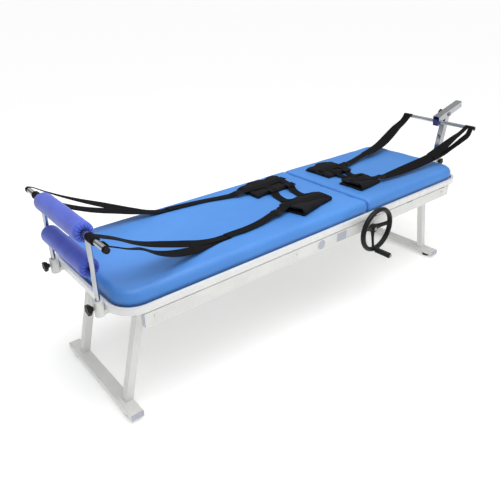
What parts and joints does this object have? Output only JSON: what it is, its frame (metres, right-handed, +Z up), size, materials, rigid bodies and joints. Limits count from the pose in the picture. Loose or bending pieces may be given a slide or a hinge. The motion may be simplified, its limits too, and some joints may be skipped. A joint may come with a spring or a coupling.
{
  "type": "manual traction bed",
  "caption": "Padded two-section traction bed on splayed legs with a handwheel drive, roller post frame, tilting head arm and webbing belts.",
  "frame": {"origin": "centre of the whole object's bounding box, on the floor", "axes": "+X along the bed to the head end, +Y across it away from the handwheel, +Z up"},
  "size_m": [2.463, 0.766, 0.7748],
  "materials": {
    "white_paint": "gloss powder coat",
    "tray_white": "gloss",
    "blue_vinyl": "satin vinyl",
    "roller_cloth": "soft stretch cloth",
    "chrome": "polished",
    "bright_alu": "satin",
    "black_plastic": "satin",
    "black_webbing": "woven webbing",
    "black_padding": "padded cloth",
    "blue_plastic": "satin",
    "steel": "machined",
    "brass": "machined",
    "grey_plate": "satin",
    "rubber": "matt"
  },
  "bodies": {
    "base": {"front_rail": "white_paint", "rear_rail": "white_paint", "shaft_bushing": "steel", "rail_plates": "grey_plate", "cross_tubes": "white_paint", "foot_end_legs": "white_paint", "head_end_legs": "white_paint", "foot_end_floor_bar": "white_paint", "head_end_floor_bar": "white_paint", "tube_end_plugs": "grey_plate", "frame_bolts": "white_paint", "guide_rods": "steel", "rod_collars": "steel", "gearbox_housing": "black_plastic", "screw_bearing": "steel", "head_tray": "tray_white", "head_pad": "blue_vinyl", "tray_packers": "rubber", "head_extension_tube": "white_paint", "head_post_socket": "white_paint", "chest_belt": "black_padding", "chest_buckle_straps": "black_webbing"},
    "foot_section": {"foot_tray": "tray_white", "foot_pad": "blue_vinyl", "slide_blocks": "black_plastic", "drive_nut": "brass", "post_sockets": "white_paint", "pelvic_belt": "black_padding", "pelvic_buckle_straps": "black_webbing"},
    "foot_frame": {"foot_posts": "chrome", "top_bar": "bright_alu", "lower_bar": "chrome", "bar_end_caps": "black_plastic", "foot_straps": "black_webbing"},
    "upper_roller": {"upper_roller": "roller_cloth"},
    "lower_roller": {"lower_roller": "roller_cloth"},
    "foot_knob_near": {"foot_knob_near": "black_plastic"},
    "foot_knob_far": {"foot_knob_far": "black_plastic"},
    "head_knob": {"head_knob": "black_plastic"},
    "arm_knob": {"arm_knob": "black_plastic"},
    "drive": {"handwheel": "black_plastic", "hub_cap": "steel", "wheel_shaft": "steel", "handle_pin": "steel", "drive_gear": "steel"},
    "crank": {"crank_handle": "black_plastic"},
    "screw": {"lead_screw": "steel", "driven_gear": "steel"},
    "head_post": {"head_post": "chrome", "pivot_bolt": "steel", "chest_straps": "black_webbing"},
    "head_arm": {"head_arm": "chrome", "spreader_block": "blue_plastic", "spreader_bar": "chrome", "spreader_end_caps": "black_plastic", "spreader_loops": "black_webbing"},
    "levelling_foot_1": {"levelling_foot_1": "rubber"},
    "levelling_foot_2": {"levelling_foot_2": "rubber"},
    "levelling_foot_3": {"levelling_foot_3": "rubber"},
    "levelling_foot_4": {"levelling_foot_4": "rubber"}
  },
  "joints": [
    {"name": "handwheel_turn", "type": "hinge", "parent": "base", "child": "drive", "pos_m": [0.04651, -0.288, 0.423], "axis": [0, 1, 0], "range_deg": [0, 6750]},
    {"name": "crank_handle_spin", "type": "hinge", "parent": "drive", "child": "crank", "pos_m": [0.03837, -0.338, 0.32986], "axis": [0, 1, 0], "continuous": true},
    {"name": "lead_screw_turn", "type": "hinge", "parent": "base", "child": "screw", "pos_m": [-0.14849, -0.117, 0.423], "axis": [1, 0, 0], "range_deg": [-6750, 0]},
    {"name": "traction_slide", "type": "slide", "parent": "base", "child": "foot_section", "axis": [-1, 0, 0], "range_m": [0, 0.15]},
    {"name": "foot_frame_lift", "type": "slide", "parent": "foot_section", "child": "foot_frame", "axis": [0, 0, 1], "range_m": [0, 0.035], "deforming": ["foot_straps"]},
    {"name": "upper_roller_spin", "type": "hinge", "parent": "foot_frame", "child": "upper_roller", "pos_m": [-1.18949, 0.063, 0.727], "axis": [0, 1, 0], "continuous": true},
    {"name": "lower_roller_spin", "type": "hinge", "parent": "foot_frame", "child": "lower_roller", "pos_m": [-1.18949, 0.063, 0.603], "axis": [0, 1, 0], "continuous": true},
    {"name": "foot_knob_near_turn", "type": "hinge", "parent": "foot_section", "child": "foot_knob_near", "pos_m": [-1.21949, -0.122, 0.47], "axis": [1, 0, 0], "range_deg": [-540, 0]},
    {"name": "foot_knob_far_turn", "type": "hinge", "parent": "foot_section", "child": "foot_knob_far", "pos_m": [-1.21949, 0.248, 0.47], "axis": [1, 0, 0], "range_deg": [-540, 0]},
    {"name": "head_post_lift", "type": "slide", "parent": "base", "child": "head_post", "axis": [0.134, 0, 0.991], "range_m": [0, 0.025], "deforming": ["chest_straps"]},
    {"name": "head_knob_turn", "type": "hinge", "parent": "base", "child": "head_knob", "pos_m": [1.06648, 0.013, 0.44353], "axis": [0, 1, 0], "range_deg": [-540, 0]},
    {"name": "arm_tilt", "type": "hinge", "parent": "head_post", "child": "head_arm", "pos_m": [1.10333, 0.063, 0.71605], "axis": [0, 1, 0], "range_deg": [-20, 45], "deforming": ["spreader_loops"]},
    {"name": "arm_knob_turn", "type": "hinge", "parent": "head_post", "child": "arm_knob", "pos_m": [1.10333, 0.093, 0.71605], "axis": [0, 1, 0], "range_deg": [-540, 0]},
    {"name": "levelling_foot_1_turn", "type": "hinge", "parent": "base", "child": "levelling_foot_1", "pos_m": [-1.14849, -0.157, 0], "axis": [0, 0, 1], "range_deg": [-180, 180]},
    {"name": "levelling_foot_2_turn", "type": "hinge", "parent": "base", "child": "levelling_foot_2", "pos_m": [-1.14849, 0.283, 0], "axis": [0, 0, 1], "range_deg": [-180, 180]},
    {"name": "levelling_foot_3_turn", "type": "hinge", "parent": "base", "child": "levelling_foot_3", "pos_m": [0.75151, -0.157, 0], "axis": [0, 0, 1], "range_deg": [-180, 180]},
    {"name": "levelling_foot_4_turn", "type": "hinge", "parent": "base", "child": "levelling_foot_4", "pos_m": [0.75151, 0.283, 0], "axis": [0, 0, 1], "range_deg": [-180, 180]}
  ],
  "couplings": [
    {"joint": "handwheel_turn", "follows": "traction_slide", "rad_per_m": 785.39},
    {"joint": "lead_screw_turn", "follows": "traction_slide", "rad_per_m": -785.39}
  ]
}
